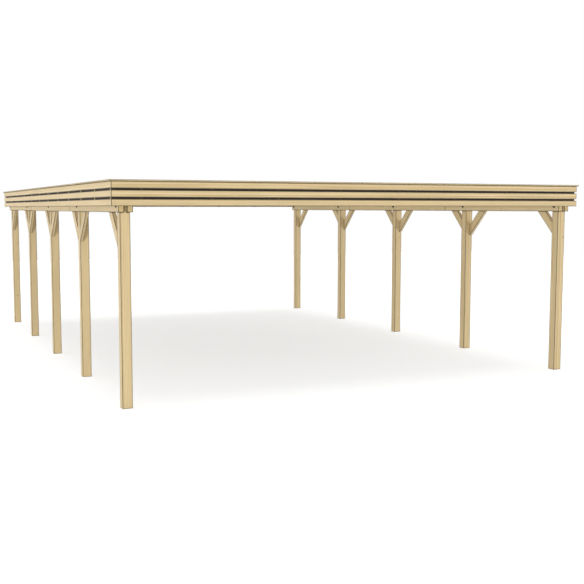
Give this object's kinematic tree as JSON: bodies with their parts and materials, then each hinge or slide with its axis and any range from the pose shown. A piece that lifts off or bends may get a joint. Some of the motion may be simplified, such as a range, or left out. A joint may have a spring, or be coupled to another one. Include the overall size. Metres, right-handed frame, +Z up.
{
  "type": "carport",
  "caption": "Free-standing timber carport with a flat roof, double purlins, knee braces and a boarded fascia, open on all sides.",
  "frame": {"origin": "on the ground, in the middle of the plan", "axes": "+X to the right seen from the front, +Y from the front to the back along the rows of posts, +Z up"},
  "size_m": [6.64, 9.04, 2.616],
  "materials": {
    "post_timber": "planed spruce, satin oil stain",
    "purlin_timber": "planed spruce, satin oil stain",
    "brace_timber": "planed spruce, satin oil stain",
    "rafter_timber": "planed spruce, unfinished",
    "side_batten_timber": "rough-sawn spruce, unfinished",
    "end_batten_timber": "rough-sawn spruce, dark stain",
    "fascia_board": "planed spruce, satin oil stain",
    "cap_board": "planed spruce, oil stain, weathered",
    "gap_membrane": "black breather membrane",
    "roof_sheet": "galvanised and coated sheet",
    "fastener": "dark zinc"
  },
  "bodies": {
    "root": {"left_post_1": "post_timber", "left_post_2": "post_timber", "left_post_3": "post_timber", "left_post_4": "post_timber", "left_post_5": "post_timber", "right_post_1": "post_timber", "right_post_2": "post_timber", "right_post_3": "post_timber", "right_post_4": "post_timber", "right_post_5": "post_timber", "left_outer_purlin_front": "purlin_timber", "left_outer_purlin_middle": "purlin_timber", "left_outer_purlin_back": "purlin_timber", "left_inner_purlin_front": "purlin_timber", "left_inner_purlin_middle": "purlin_timber", "left_inner_purlin_back": "purlin_timber", "right_outer_purlin_front": "purlin_timber", "right_outer_purlin_middle": "purlin_timber", "right_outer_purlin_back": "purlin_timber", "right_inner_purlin_front": "purlin_timber", "right_inner_purlin_middle": "purlin_timber", "right_inner_purlin_back": "purlin_timber", "left_braces_bay_1": "brace_timber", "left_braces_bay_2": "brace_timber", "left_braces_bay_3": "brace_timber", "left_braces_bay_4": "brace_timber", "right_braces_bay_1": "brace_timber", "right_braces_bay_2": "brace_timber", "right_braces_bay_3": "brace_timber", "right_braces_bay_4": "brace_timber", "end_rafters": "rafter_timber", "inner_rafters": "rafter_timber", "roof_sheets": "roof_sheet", "front_battens": "end_batten_timber", "right_battens": "side_batten_timber", "back_battens": "end_batten_timber", "left_battens": "side_batten_timber", "front_fascia": "fascia_board", "right_fascia": "fascia_board", "back_fascia": "fascia_board", "left_fascia": "fascia_board", "front_cap": "cap_board", "right_cap": "cap_board", "back_cap": "cap_board", "left_cap": "cap_board"}
  },
  "joints": []
}
